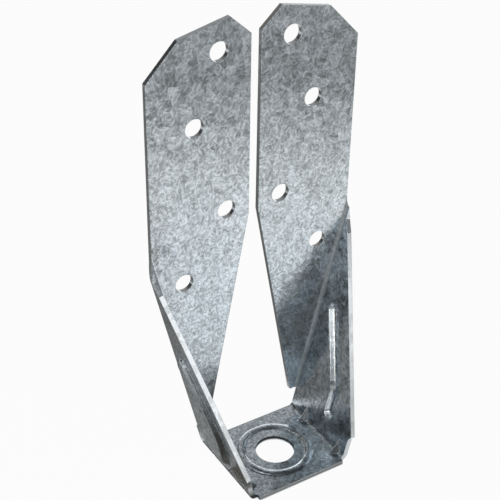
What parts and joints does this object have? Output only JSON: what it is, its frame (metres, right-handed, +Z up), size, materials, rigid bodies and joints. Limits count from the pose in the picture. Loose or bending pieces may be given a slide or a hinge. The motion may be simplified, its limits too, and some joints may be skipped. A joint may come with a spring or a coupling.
{
  "type": "deck tension tie",
  "caption": "Folded galvanised sheet tie: tapered screw plates, flared ribbed side walls and a beaded seat for an anchor rod, to hold deck timber in tension.",
  "frame": {"origin": "on the anchor rod's axis, at the underside of the seat", "axes": "+X across the two screw plates, +Y towards the timber, +Z up along the anchor rod"},
  "size_m": [0.0844, 0.0396, 0.1762],
  "materials": {
    "galvanised_sheet": "hot-dip galvanised, fine matt spangle"
  },
  "bodies": {
    "root": {"tension_tie": "galvanised_sheet"}
  },
  "joints": []
}
